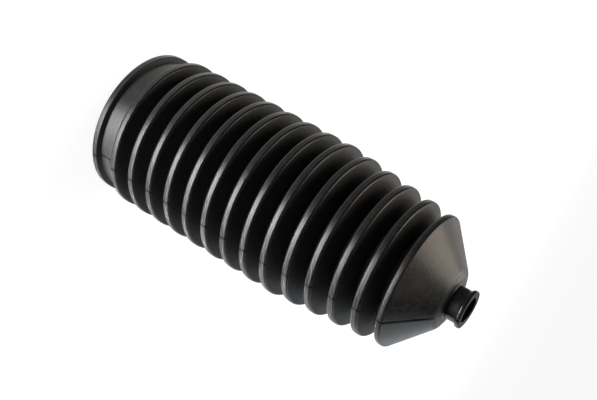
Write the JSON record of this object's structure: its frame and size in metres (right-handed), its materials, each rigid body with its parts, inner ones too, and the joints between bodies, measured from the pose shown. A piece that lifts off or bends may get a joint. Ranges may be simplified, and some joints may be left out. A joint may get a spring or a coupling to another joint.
{
  "type": "steering rack boot",
  "caption": "Black rubber bellows boot for a steering rack: wide clamped end, folded convolutions, a cone and a narrow neck that grips the tie rod.",
  "frame": {"origin": "centre of the large end's mouth, in the plane of its end face, on which the boot stands", "axes": "+Z along the boot's axis, from the large end to the small end; X and Y are across it, and the boot is the same all round"},
  "size_m": [0.0746, 0.0744, 0.1811],
  "materials": {
    "rubber": "satin black moulded rubber"
  },
  "bodies": {
    "root": {"boot": "rubber"}
  },
  "joints": []
}
